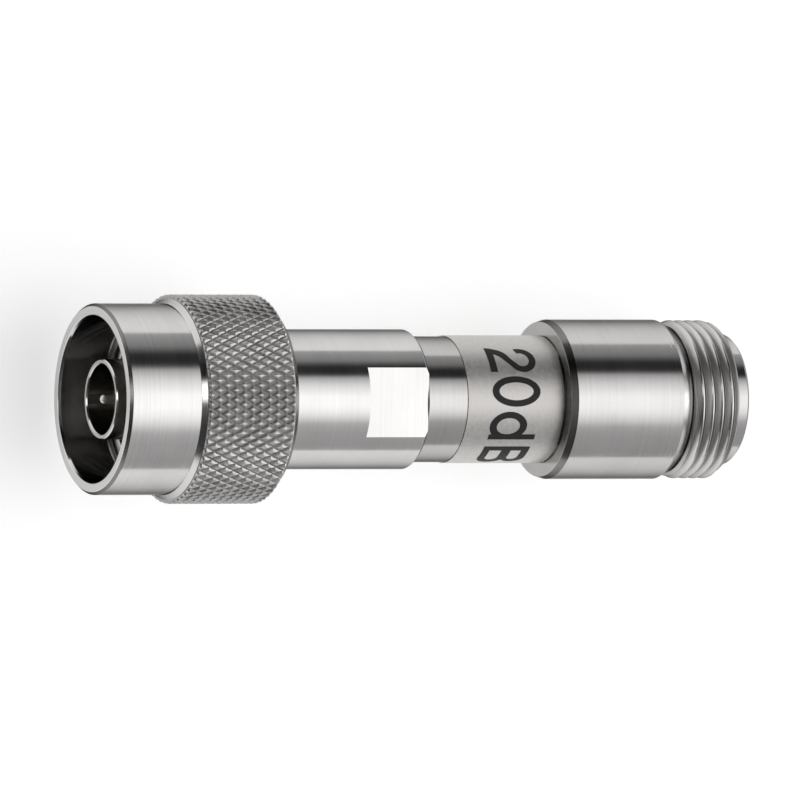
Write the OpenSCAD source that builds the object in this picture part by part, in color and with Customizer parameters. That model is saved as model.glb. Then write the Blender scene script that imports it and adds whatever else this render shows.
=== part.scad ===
// Coaxial fixed attenuator with a plug at one end and a jack at the other.
// The axis runs along X from the plug to the jack. The origin is the centre of
// the plug's reference plane, the front ring of its outer contact. Lengths in mm.

/* [Plug] */
// Outside diameter of the plug's outer contact tube
contact_d = 8.04; // [7.8:0.02:8.4]
// Bore of the outer contacts at both ends
line_bore_d = 7; // [6.6:0.05:7.2]
// Reference plane to the gasket's seat on the male body
gasket_seat = 9.85; // [9.2:0.05:11]
// Thickness of the sealing gasket
gasket_t = 1; // [0.6:0.05:1.4]
// Diameter of the male pin
pin_d = 0.91; // [0.8:0.01:1.1]
// Step at the contact tube's root, inside the gasket
contact_step = 0.2; // [0.1:0.05:0.4]
// Length of the thin front part of the male pin
pin_length = 5.05; // [4:0.05:6.5]
// How far the pin's tip stands behind the reference plane
pin_recess = 0.05; // [0:0.05:1]
// Length of the cone at the pin's tip
pin_point = 0.35; // [0.2:0.05:1]
// Diameter of the centre conductors
conductor_d = 2; // [1.9:0.02:2.6]

/* [Coupling nut] */
// How far the nut stands ahead of the reference plane
nut_lead = 0.95; // [0.3:0.05:2]
// Diameter of the smooth front sleeve
sleeve_d = 19.1; // [18.6:0.1:19.8]
// Length of the smooth front sleeve
sleeve_length = 7.75; // [6.5:0.05:9]
// Diameter over the knurl
grip_d = 20.9; // [20.6:0.1:23]
// Length of the grip, from the sleeve to the nut's back
grip_length = 10.7; // [9.5:0.1:14]
// Length of the steep bevel at the front of the grip
grip_bevel = 0.45; // [0.2:0.05:1]
// Length of the bevel behind the knurl
back_bevel = 0.7; // [0.3:0.05:1.2]
// Run from each bevel to the knurl's first row of tips
knurl_lead = 0.25; // [0.15:0.05:0.6]
// Number of diamonds around the knurl
knurl_count = 66; // [40:1:80]
// Depth of the knurl
knurl_depth = 0.3; // [0.15:0.05:0.35]
// Angle of the knurl's grooves from the axis, in degrees
knurl_angle = 29; // [25:1:40]
// Diameter of the nut's mouth ahead of its thread
mouth_d = 16.6; // [16.2:0.1:17.2]
// Depth of the nut's mouth
mouth_depth = 4.85; // [2:0.05:5.6]
// Minor diameter of the nut's thread
nut_thread_d = 14.8; // [14.5:0.05:15.2]
// Diameter of the undercut behind the nut's thread
undercut_d = 16.1; // [15.6:0.1:16.6]

/* [Male body] */
// Diameter of the male body
male_body_d = 14; // [13.4:0.1:14.6]
// Length of the male body, from the gasket's seat to the neck
male_body_length = 23.3; // [20:0.05:32]
// Distance across the two wrench flats
flat_across = 12.15; // [11.6:0.05:13.2]
// Length of the wrench flats
flat_length = 6.75; // [4:0.05:9]

/* [Neck and label] */
// Diameter of the neck
neck_d = 12.6; // [11.6:0.1:13.6]
// Length of the neck between the two bodies
neck_length = 14.95; // [12:0.05:26]
// Bare neck between the male body and the label
label_offset = 4.25; // [1:0.05:7]
// Bare neck between the label and the female body
label_margin = 0.15; // [0.1:0.05:2]
// Thickness of the label
label_t = 0.1; // [0.05:0.01:0.2]

/* [Female body] */
// Diameter of the female body
female_body_d = 16; // [15.9:0.1:17.5]
// Length of the female body, from its shoulder to the groove
female_body_length = 13.3; // [11:0.05:20]
// Width of the groove ahead of the jack's thread
groove_w = 0.45; // [0.3:0.05:1.6]
// Diameter at the bottom of the groove
groove_d = 14.3; // [13.6:0.1:14.8]
// Outside diameter of the jack's thread
jack_thread_d = 15.875; // [15.7:0.005:16]
// Length of the jack's thread
jack_thread_length = 5; // [4:0.05:8]
// Pitch of the jack's thread
thread_pitch = 1.0583; // [0.8:0.0001:1.5]
// Depth of the jack's thread
thread_depth = 0.56; // [0.3:0.02:0.64]
// Diameter of the plain end of the jack
pilot_d = 13.1; // [12:0.1:14]
// Length of the plain end of the jack
pilot_length = 1.6; // [0.8:0.05:2]
// Diameter of the jack's bore
jack_bore_d = 8.12; // [7.9:0.02:8.5]
// Jack's end face to its reference plane
jack_bore_depth = 9.1; // [8:0.05:10]
// Bore of the socket contact
socket_bore_d = 0.93; // [0.82:0.01:1.12]
// Depth of the socket contact's bore
socket_bore_depth = 6; // [5:0.1:8]
// How far the socket contact stands past the jack's reference plane
socket_reach = 5.1; // [4:0.05:6]
// Width of the socket contact's slots
slot_w = 0.25; // [0.15:0.01:0.3]
// Length of the socket contact's slots
slot_length = 4.6; // [3:0.1:5]

/* [Housing and card] */
// Diameter of the housing's spigots inside the two bodies
spigot_d = 10.34; // [9.8:0.02:10.8]
// Length of the spigot inside the female body
rear_spigot_length = 4.1; // [3:0.1:5]
// Wall at the front of the male body
front_wall = 1.55; // [1:0.05:2.2]
// Thickness of the outer contact's flange
flange_t = 2; // [1.2:0.1:3]
// Thickness of the insulators
bead_t = 2.5; // [1.6:0.1:3.5]
// Depth of the ring groove on each face of the insulators
bead_groove = 0.5; // [0.2:0.05:0.7]
// Bore of the housing around the card holder
housing_bore_d = 8.8; // [8.2:0.05:9.2]
// Length of the narrow bore ahead of the card holder
choke_length = 3.1; // [1.5:0.1:4.5]
// Diameter of the channel in the card holder
channel_d = 5.6; // [4.6:0.1:6.4]
// Diameter of the centre conductors inside the insulators
core_d = 1.6; // [1.5:0.05:1.8]
// Length of the resistor card
card_length = 26; // [20:0.5:30]
// Thickness of the resistor card
card_t = 0.5; // [0.3:0.05:0.6]
// Thickness of the films on the card
film_t = 0.05; // [0.02:0.01:0.1]
// Length of each conductor pad
pad_length = 4; // [3:0.1:6]
// Width of each conductor pad
pad_w = 2.4; // [1.6:0.1:3.4]
// Width of the contact tabs
tab_w = 0.9; // [0.6:0.05:1]
// Thickness of the contact tabs
tab_t = 0.15; // [0.1:0.01:0.2]
// Length of each tab inside its centre conductor
tab_grip = 1.6; // [1:0.1:2]
// Length of each tab on its conductor pad
tab_lap = 2; // [1:0.1:2.8]
// Gap between the centre conductors and the card
card_end_gap = 0.4; // [0.2:0.05:1]
// Gap between the card's edges and the housing
card_side_gap = 0.25; // [0.1:0.05:0.5]

/* [Retaining ring] */
// Width of the ring that holds the nut
ring_w = 0.9; // [0.6:0.05:1.2]
// How far the ring stands inside the body's groove
ring_bite = 0.5; // [0.3:0.05:0.7]
// How far the ring reaches into the nut's groove
ring_reach = 0.5; // [0.3:0.05:0.7]
// Opening of the split ring
ring_split = 3; // [1:0.1:5]

/* [Clearances and edges] */
// Radial gap between the nut and the body that it turns on
nut_gap = 0.08; // [0.05:0.01:0.1]
// Radial gap between pieces that are fixed together
fit_gap = 0.03; // [0.01:0.01:0.06]
// Gap around the retaining ring inside the nut's groove
ring_gap = 0.08; // [0.05:0.01:0.15]
// Gap around the gasket
gasket_gap = 0.25; // [0.1:0.05:0.4]
// Chamfer on outer edges
edge = 0.3; // [0.1:0.05:0.4]
// Chamfer on the edges of contacts
contact_edge = 0.12; // [0.05:0.01:0.2]

/* [Hidden] */

// Facets of each full turn
facets = 96;
// Overrun of cutting solids past the faces that they cut
past = 1;

nickel = [0.80, 0.79, 0.77];
steel = [0.72, 0.72, 0.73];
gold = [0.86, 0.68, 0.30];
white_plastic = [0.94, 0.94, 0.92];

// Radii
contact_r = contact_d / 2;
contact_root_r = contact_r + contact_step;
line_bore_r = line_bore_d / 2;
pin_r = pin_d / 2;
conductor_r = conductor_d / 2;
core_r = core_d / 2;
sleeve_r = sleeve_d / 2;
grip_r = grip_d / 2;
mouth_r = mouth_d / 2;
nut_thread_r = nut_thread_d / 2;
undercut_r = undercut_d / 2;
male_body_r = male_body_d / 2;
nut_bore_r = male_body_r + nut_gap;
neck_r = neck_d / 2;
female_body_r = female_body_d / 2;
groove_r = groove_d / 2;
jack_thread_r = jack_thread_d / 2;
pilot_r = pilot_d / 2;
jack_bore_r = jack_bore_d / 2;
spigot_r = spigot_d / 2;
spigot_bore_r = spigot_r + fit_gap;
housing_bore_r = housing_bore_d / 2;

// Stations along the axis, from the plug to the jack
x_nut_front = -nut_lead;
x_grip = x_nut_front + sleeve_length;
x_nut_back = x_grip + grip_length;
x_knurl = x_grip + grip_bevel;
x_collar = x_nut_back - back_bevel;
x_body_front = gasket_seat;
x_gasket = x_body_front - gasket_t;
x_flange = x_body_front + front_wall;
x_male_bead = x_flange + flange_t;
x_housing = x_male_bead + bead_t;
x_holder = x_housing + choke_length;
x_body_end = x_body_front + male_body_length;
x_shoulder = x_body_end + neck_length;
x_female_bead = x_shoulder + rear_spigot_length;
x_female_sleeve = x_female_bead + bead_t;
x_groove = x_shoulder + female_body_length;
x_jack_thread = x_groove + groove_w;
x_pilot = x_jack_thread + jack_thread_length;
x_end = x_pilot + pilot_length;
x_jack_plane = x_end - jack_bore_depth;
x_socket_tip = x_jack_plane + socket_reach;
x_card = (x_holder + x_female_bead - card_length) / 2;
x_card_end = x_card + card_length;
x_pin_end = x_card - card_end_gap;
x_socket_start = x_card_end + card_end_gap;

// Nut's inside: the undercut clears the gasket and ends behind the body's front
undercut_lead = gasket_t / 2;
x_undercut = x_gasket - undercut_lead;
x_nut_step = x_body_front + undercut_lead;
x_ring = (x_nut_step + x_nut_back - ring_w) / 2;
ring_in_r = male_body_r - ring_bite;
ring_out_r = nut_bore_r + ring_reach;

// Card's levels above the axis
card_half = card_t / 2;
film_top = card_half + film_t;
card_w = housing_bore_d - 2 * card_side_gap;

// Long chamfers at the two ends of the female body
shoulder_chamfer_w = 2.5 * edge;
shoulder_chamfer_h = 0.8 * edge;
female_chamfer_w = 3 * edge;
female_chamfer_h = 1.6 * edge;

// Turns a profile of [radius, station] points about the axis.
module turned(profile) {
    rotate([0, 90, 0])
        rotate_extrude($fn = facets)
            polygon(profile);
}

// Plain ring between two radii and two stations.
module ring(r_in, r_out, x_from, x_to) {
    turned([[r_in, x_from], [r_out, x_from], [r_out, x_to], [r_in, x_to]]);
}

// Block centred on Y, between two stations and two heights.
module slab(x_from, x_to, width, z_from, z_to) {
    translate([x_from, -width / 2, z_from])
        cube([x_to - x_from, width, z_to - z_from]);
}

// Diamond knurl: a grid of points around the band, tips and pits in turn like the
// squares of a chessboard. Each cell is folded between its two pits, so that four
// faces make a pyramid on every tip. The first and last rows lie at the pits.
knurl_sides = 2 * knurl_count;
knurl_pit_r = grip_r - knurl_depth;
knurl_root_r = sleeve_r - knurl_depth;
knurl_run = x_collar - x_knurl - 2 * knurl_lead;
knurl_half_pitch = PI * grip_d / knurl_sides;
knurl_rows = round(knurl_run * tan(knurl_angle) / knurl_half_pitch);
knurl_stations = [
    x_knurl,
    for (row = [0:knurl_rows]) x_knurl + knurl_lead + row * knurl_run / knurl_rows,
    x_collar
];
knurl_last = len(knurl_stations) - 1;

function is_tip(row, side) = row > 0 && row < knurl_last && (row + side) % 2 == 0;
function knurl_radius(row, side) = is_tip(row, side) ? grip_r : knurl_pit_r;
function around(x, r, side) =
    [x, r * cos(360 * side / knurl_sides), r * sin(360 * side / knurl_sides)];
function knurl_index(row, side) = row * knurl_sides + side % knurl_sides;

module knurl_band() {
    rows = knurl_last + 1;
    points = [
        for (row = [0:knurl_last])
            for (side = [0:knurl_sides - 1])
                around(knurl_stations[row], knurl_radius(row, side), side),
        for (x = [x_knurl, x_collar])
            for (side = [0:knurl_sides - 1])
                around(x, knurl_root_r, side)
    ];
    outside = [
        for (row = [0:knurl_last - 1])
            for (side = [0:knurl_sides - 1])
                let (
                    a = knurl_index(row, side),
                    b = knurl_index(row, side + 1),
                    c = knurl_index(row + 1, side + 1),
                    d = knurl_index(row + 1, side),
                    folds = (row + side) % 2 == 0 ? [[a, d, b], [b, d, c]] : [[a, c, b], [a, d, c]]
                )
                each folds
    ];
    ends = [
        for (side = [0:knurl_sides - 1])
            let (
                front_out = knurl_index(0, side),
                front_out_next = knurl_index(0, side + 1),
                front_in = knurl_index(rows, side),
                front_in_next = knurl_index(rows, side + 1),
                back_out = knurl_index(knurl_last, side),
                back_out_next = knurl_index(knurl_last, side + 1),
                back_in = knurl_index(rows + 1, side),
                back_in_next = knurl_index(rows + 1, side + 1)
            )
            each [
                [front_in, front_out, front_out_next, front_in_next],
                [back_in, back_in_next, back_out_next, back_out],
                [front_in, front_in_next, back_in_next, back_in]
            ]
    ];
    polyhedron(points = points, faces = concat(outside, ends), convexity = 4);
}

// Smooth sleeve with the mouth, thread bore, undercut and running bore inside,
// and a knurled band on the outside between two bevels.
module coupling_nut() {
    collar_r = knurl_pit_r - contact_edge;
    lead_in = (mouth_r - nut_thread_r) / 3;
    color(nickel)
        difference() {
            union() {
                turned([
                    [0, x_nut_front],
                    [sleeve_r - edge, x_nut_front],
                    [sleeve_r, x_nut_front + edge],
                    [sleeve_r, x_grip],
                    [collar_r, x_knurl],
                    [collar_r, x_collar],
                    [collar_r - back_bevel, x_nut_back],
                    [0, x_nut_back]
                ]);
                knurl_band();
            }
            turned([
                [0, x_nut_front - past],
                [mouth_r + contact_edge, x_nut_front - past],
                [mouth_r + contact_edge, x_nut_front],
                [mouth_r, x_nut_front + edge],
                [mouth_r, x_nut_front + mouth_depth],
                [nut_thread_r, x_nut_front + mouth_depth + lead_in],
                [nut_thread_r, x_undercut],
                [undercut_r, x_undercut],
                [undercut_r, x_nut_step],
                [nut_bore_r, x_nut_step],
                [nut_bore_r, x_nut_back - edge],
                [nut_bore_r + edge, x_nut_back],
                [nut_bore_r + edge, x_nut_back + past],
                [0, x_nut_back + past]
            ]);
            ring(0, ring_out_r + ring_gap, x_ring - ring_gap, x_ring + ring_w + ring_gap);
        }
}

// Split spring ring, half in the body's groove and half in the nut's groove.
module nut_retaining_ring() {
    color(steel)
        difference() {
            ring(ring_in_r, ring_out_r, x_ring, x_ring + ring_w);
            translate([x_ring - past, -ring_split / 2, -ring_out_r - past])
                cube([ring_w + 2 * past, ring_split, ring_out_r + past]);
        }
}

// Flat elastomer ring on the front face of the male body.
module sealing_gasket() {
    color([0.30, 0.13, 0.11])
        turned([
            [contact_root_r + gasket_gap, x_gasket],
            [male_body_r - edge - contact_edge, x_gasket],
            [male_body_r - edge, x_gasket + contact_edge],
            [male_body_r - edge, x_body_front],
            [contact_root_r + gasket_gap, x_body_front]
        ]);
}

// Barrel with the retaining ring's groove, two wrench flats and a stepped bore.
module male_body() {
    color(nickel)
        difference() {
            turned([
                [contact_root_r + fit_gap, x_body_front],
                [male_body_r - edge, x_body_front],
                [male_body_r, x_body_front + edge],
                [male_body_r, x_ring - fit_gap],
                [ring_in_r - fit_gap, x_ring - fit_gap],
                [ring_in_r - fit_gap, x_ring + ring_w + fit_gap],
                [male_body_r, x_ring + ring_w + fit_gap],
                [male_body_r, x_body_end - edge],
                [male_body_r - edge, x_body_end],
                [spigot_bore_r, x_body_end],
                [spigot_bore_r, x_flange],
                [contact_root_r + fit_gap, x_flange]
            ]);
            for (face = [0, 1])
                mirror([0, 0, face])
                    slab(x_body_end - flat_length, x_body_end + past, male_body_d,
                         flat_across / 2, male_body_r + past);
        }
}

// Contact tube of the plug, with a thicker root and a flange that the body holds.
module male_outer_contact() {
    color(nickel)
        turned([
            [line_bore_r, contact_edge],
            [line_bore_r + contact_edge, 0],
            [contact_r - contact_edge, 0],
            [contact_r, contact_edge],
            [contact_r, x_gasket],
            [contact_root_r, x_gasket],
            [contact_root_r, x_flange],
            [spigot_r, x_flange],
            [spigot_r, x_male_bead],
            [line_bore_r, x_male_bead]
        ]);
}

// Tab seen from the end of a centre conductor, with clearance all round.
module tab_slot(x_from, x_to) {
    slab(x_from, x_to, tab_w + 2 * fit_gap, film_top - fit_gap, film_top + tab_t + fit_gap);
}

// Stepped centre pin: pointed tip, full conductor, then the core in the insulator.
module male_pin() {
    x_tip = pin_recess;
    x_step = pin_recess + pin_length;
    color(nickel)
        difference() {
            turned([
                [0, x_tip],
                [pin_r / 2, x_tip],
                [pin_r, x_tip + pin_point],
                [pin_r, x_step],
                [conductor_r - contact_edge, x_step],
                [conductor_r, x_step + contact_edge],
                [conductor_r, x_male_bead],
                [core_r, x_male_bead],
                [core_r, x_pin_end],
                [0, x_pin_end]
            ]);
            tab_slot(x_pin_end - tab_grip - fit_gap, x_pin_end + past);
        }
}

// Insulating disc around a centre conductor, with a ring groove on both faces.
module bead(x_from) {
    groove_in_r = conductor_r + edge;
    groove_out_r = line_bore_r;
    color(white_plastic)
        difference() {
            ring(core_r + fit_gap, spigot_r, x_from, x_from + bead_t);
            ring(groove_in_r, groove_out_r, x_from - past, x_from + bead_groove);
            ring(groove_in_r, groove_out_r, x_from + bead_t - bead_groove, x_from + bead_t + past);
        }
}

module male_insulator() {
    bead(x_male_bead);
}

// Neck with a spigot in each body and the bore that takes the card holder.
module housing_tube() {
    color(nickel)
        turned([
            [line_bore_r, x_housing],
            [spigot_r, x_housing],
            [spigot_r, x_body_end],
            [neck_r, x_body_end],
            [neck_r, x_shoulder],
            [spigot_r, x_shoulder],
            [spigot_r, x_female_bead],
            [housing_bore_r, x_female_bead],
            [housing_bore_r, x_holder],
            [line_bore_r, x_holder]
        ]);
}

// Foil band around the neck.
module rating_label() {
    color([0.78, 0.78, 0.77])
        ring(neck_r + fit_gap / 2, neck_r + label_t,
             x_body_end + label_offset, x_shoulder - label_margin);
}

// Full round of the card holder with its channel, before it is cut in halves.
module card_holder_round() {
    ring(channel_d / 2, housing_bore_r - fit_gap, x_holder, x_female_bead);
}

module card_holder_upper() {
    color(steel)
        intersection() {
            card_holder_round();
            slab(x_holder - past, x_female_bead + past, housing_bore_d, film_top, housing_bore_r);
        }
}

module card_holder_lower() {
    color(steel)
        intersection() {
            card_holder_round();
            slab(x_holder - past, x_female_bead + past, housing_bore_d, -housing_bore_r, -card_half);
        }
}

// Ceramic card held by its long edges.
module resistor_card() {
    color(white_plastic)
        slab(x_card, x_card_end, card_w, -card_half, card_half);
}

// Resistive film across the card, earthed along both edges by the upper holder.
module resistor_film() {
    color([0.16, 0.15, 0.15])
        slab(x_card + pad_length, x_card_end - pad_length, card_w, card_half, film_top);
}

// Conductor pads at the two ends of the film.
module conductor_pads() {
    color([0.75, 0.75, 0.76]) {
        slab(x_card, x_card + pad_length, pad_w, card_half, film_top);
        slab(x_card_end - pad_length, x_card_end, pad_w, card_half, film_top);
    }
}

module input_contact_tab() {
    color(gold)
        slab(x_pin_end - tab_grip, x_card + tab_lap, tab_w, film_top, film_top + tab_t);
}

module output_contact_tab() {
    color(gold)
        slab(x_card_end - tab_lap, x_socket_start + tab_grip, tab_w, film_top, film_top + tab_t);
}

// Right-handed thread ridge: one section of four points, carried round and along.
// It starts and ends beyond the thread's zone and stands a little above the crests,
// so that the zone's own outline trims it.
thread_sides = 48;
thread_root_r = jack_thread_r - thread_depth;
thread_crest_half = 0.08 * thread_pitch;
thread_root_half = 0.43 * thread_pitch;
thread_over = 0.12 * thread_depth;
thread_sink = 0.1 * thread_depth;
thread_flank = (thread_root_half - thread_crest_half) / thread_depth;
thread_section = [
    [-thread_root_half - thread_flank * thread_sink, thread_root_r - thread_sink],
    [-thread_crest_half + thread_flank * thread_over, jack_thread_r + thread_over],
    [thread_crest_half - thread_flank * thread_over, jack_thread_r + thread_over],
    [thread_root_half + thread_flank * thread_sink, thread_root_r - thread_sink]
];
x_ridge = thread_pitch * floor(x_jack_thread / thread_pitch - 0.5);
thread_turns = ceil((x_pilot - x_ridge) / thread_pitch + 0.5);
thread_steps = thread_sides * thread_turns;

module thread_ridge() {
    points = [
        for (step = [0:thread_steps])
            let (turn = 360 * step / thread_sides, x = x_ridge + thread_pitch * step / thread_sides)
            for (corner = thread_section)
                [x + corner[0], corner[1] * cos(turn), corner[1] * sin(turn)]
    ];
    walls = [
        for (step = [0:thread_steps - 1])
            for (side = [0:3])
                let (
                    a = 4 * step + side,
                    b = 4 * step + (side + 1) % 4,
                    c = b + 4,
                    d = a + 4
                )
                each [[a, b, c], [a, c, d]]
    ];
    last = 4 * thread_steps;
    caps = [[3, 2, 1, 0], [last, last + 1, last + 2, last + 3]];
    polyhedron(points = points, faces = concat(walls, caps), convexity = 10);
}

// Barrel with a shoulder, a groove, the jack's thread and a plain end.
module female_body() {
    color(nickel)
        union() {
            turned([
                [spigot_bore_r, x_shoulder],
                [female_body_r - shoulder_chamfer_h, x_shoulder],
                [female_body_r, x_shoulder + shoulder_chamfer_w],
                [female_body_r, x_groove - female_chamfer_w],
                [female_body_r - female_chamfer_h, x_groove],
                [groove_r, x_groove],
                [groove_r, x_jack_thread],
                [thread_root_r, x_jack_thread],
                [thread_root_r, x_pilot],
                [pilot_r, x_pilot],
                [pilot_r, x_end - edge],
                [pilot_r - edge, x_end],
                [jack_bore_r + edge, x_end],
                [jack_bore_r, x_end - edge],
                [jack_bore_r, x_jack_plane],
                [spigot_bore_r, x_jack_plane]
            ]);
            intersection() {
                turned([
                    [thread_root_r - thread_sink / 2, x_jack_thread],
                    [thread_root_r, x_jack_thread],
                    [jack_thread_r, x_jack_thread + thread_depth],
                    [jack_thread_r, x_pilot - thread_depth],
                    [thread_root_r, x_pilot],
                    [thread_root_r - thread_sink / 2, x_pilot]
                ]);
                thread_ridge();
            }
        }
}

// Sleeve whose end is the jack's reference plane.
module female_outer_sleeve() {
    color(nickel)
        ring(line_bore_r, spigot_r, x_female_sleeve, x_jack_plane);
}

// Socket contact with four spring fingers.
module female_socket() {
    color(gold)
        difference() {
            turned([
                [0, x_socket_start],
                [core_r, x_socket_start],
                [core_r, x_female_sleeve],
                [conductor_r, x_female_sleeve],
                [conductor_r, x_socket_tip - contact_edge],
                [conductor_r - contact_edge, x_socket_tip],
                [0, x_socket_tip]
            ]);
            ring(0, socket_bore_d / 2, x_socket_tip - socket_bore_depth, x_socket_tip + past);
            for (turn = [0, 90])
                rotate([turn, 0, 0])
                    slab(x_socket_tip - slot_length, x_socket_tip + past, slot_w,
                         -conductor_d, conductor_d);
            tab_slot(x_socket_start - past, x_socket_start + tab_grip + fit_gap);
        }
}

module female_insulator() {
    bead(x_female_bead);
}

coupling_nut();
nut_retaining_ring();
sealing_gasket();
male_body();
male_outer_contact();
male_pin();
male_insulator();
housing_tube();
rating_label();
card_holder_upper();
card_holder_lower();
resistor_card();
resistor_film();
conductor_pads();
input_contact_tab();
output_contact_tab();
female_body();
female_outer_sleeve();
female_socket();
female_insulator();
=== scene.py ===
"""Looks of a coaxial attenuator: turned barrels, a knurled nut, threads, a foil label and its print.

The axis runs along X, from the plug to the jack. Sizes are in millimetres until a mesh is made.
"""

import math

import bmesh
import bpy
import numpy as np
from mathutils import Matrix, Vector


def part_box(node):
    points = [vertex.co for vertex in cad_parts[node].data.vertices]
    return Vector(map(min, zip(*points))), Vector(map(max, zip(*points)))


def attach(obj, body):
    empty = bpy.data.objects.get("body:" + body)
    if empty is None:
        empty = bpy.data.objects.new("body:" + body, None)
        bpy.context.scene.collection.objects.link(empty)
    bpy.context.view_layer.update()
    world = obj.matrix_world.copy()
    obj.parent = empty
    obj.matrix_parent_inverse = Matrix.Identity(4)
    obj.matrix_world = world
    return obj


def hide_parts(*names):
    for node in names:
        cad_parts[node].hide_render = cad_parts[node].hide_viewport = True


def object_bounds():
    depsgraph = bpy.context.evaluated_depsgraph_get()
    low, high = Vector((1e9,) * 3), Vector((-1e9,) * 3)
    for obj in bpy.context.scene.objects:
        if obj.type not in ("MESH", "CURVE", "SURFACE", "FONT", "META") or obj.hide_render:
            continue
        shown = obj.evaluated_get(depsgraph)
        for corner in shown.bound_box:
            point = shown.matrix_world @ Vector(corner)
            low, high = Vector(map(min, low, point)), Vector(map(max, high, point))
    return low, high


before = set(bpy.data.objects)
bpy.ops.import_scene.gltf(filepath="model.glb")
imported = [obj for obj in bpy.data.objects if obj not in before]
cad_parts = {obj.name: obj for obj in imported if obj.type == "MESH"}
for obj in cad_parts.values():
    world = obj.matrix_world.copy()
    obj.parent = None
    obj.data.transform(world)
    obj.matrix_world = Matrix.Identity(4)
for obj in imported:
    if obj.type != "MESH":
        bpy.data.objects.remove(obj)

MM = 0.001
cad_low, cad_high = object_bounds()


def node_box(node):
    """Lowest and highest corner of a node, in millimetres."""
    low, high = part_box(node)
    return low / MM, high / MM


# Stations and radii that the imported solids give
nut_low, nut_high = node_box("coupling_nut")
male_low, male_high = node_box("male_body")
neck_low, neck_high = node_box("housing_tube")
label_low, label_high = node_box("rating_label")
female_low, female_high = node_box("female_body")
_, contact_high = node_box("male_outer_contact")
pin_low, _ = node_box("male_pin")
gasket_low, gasket_high = node_box("sealing_gasket")
ring_low, ring_high = node_box("nut_retaining_ring")
jack_sleeve_low, jack_sleeve_high = node_box("female_outer_sleeve")
holder_low, holder_high = node_box("card_holder_upper")

GRIP_R = nut_high.y
MALE_R = male_high.y
SPIGOT_R = contact_high.y
LABEL_R = label_high.y
FEMALE_R = female_high.y
HOLDER_R = holder_high.y

# Radii and steps inside those boxes
FIT_GAP = 0.03
EDGE = 0.3
CONTACT_EDGE = 0.12
SLEEVE_R = 9.55
SLEEVE_LENGTH = 7.75
GRIP_BEVEL = 0.45
BACK_BEVEL = 0.7
KNURL_LEAD = 0.25
KNURL_DEPTH = 0.3
KNURL_SHOWN = 0.26
KNURL_COUNT = 66
KNURL_ROWS = 10
MOUTH_R = 8.3
MOUTH_DEPTH = 4.85
MOUTH_CONE_SLOPE = 3
NUT_THREAD_R = 7.4
UNDERCUT_R = 8.05
NUT_GAP = 0.08
RING_GAP = 0.08
RING_BITE = 0.5
FLAT_HALF = 6.075
FLAT_LENGTH = 6.75
NECK_R = 6.3
CONTACT_R = 4.02
PIN_R = 0.455
PIN_NOSE_LENGTH = 0.42
PIN_NOSE_AHEAD = 0.07
PIN_PLATE = 0.006
CONTACT_ROOT_R = 4.22
GASKET_GAP = 0.25
FLANGE_T = 2.0
LINE_BORE_R = 3.5
JACK_THREAD_R = 7.9375
JACK_THREAD_LENGTH = 5.0
GROOVE_W = 0.45
GROOVE_R = 7.15
PILOT_R = 6.55
PILOT_LENGTH = 1.6
JACK_BORE_R = 4.06
SHOULDER_CHAMFER = (0.75, 0.24)
FEMALE_CHAMFER = (0.9, 0.48)
THREAD_PITCH = 1.0583
THREAD_DEPTH = 0.56
THREAD_GROOVE, THREAD_FLANK = 0.06, 0.80
THREAD_SOFTNESS = 0.03
FEMALE_SCORES = (1.0, 1.4)
SCORE_W, SCORE_DEPTH = 0.06, 0.008
PRINT_MARGIN = 2.7
FACE_MARGIN, RING_MARGIN = 0.05, 0.01
INK_GAP, INK_T = 0.002, 0.012


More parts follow.
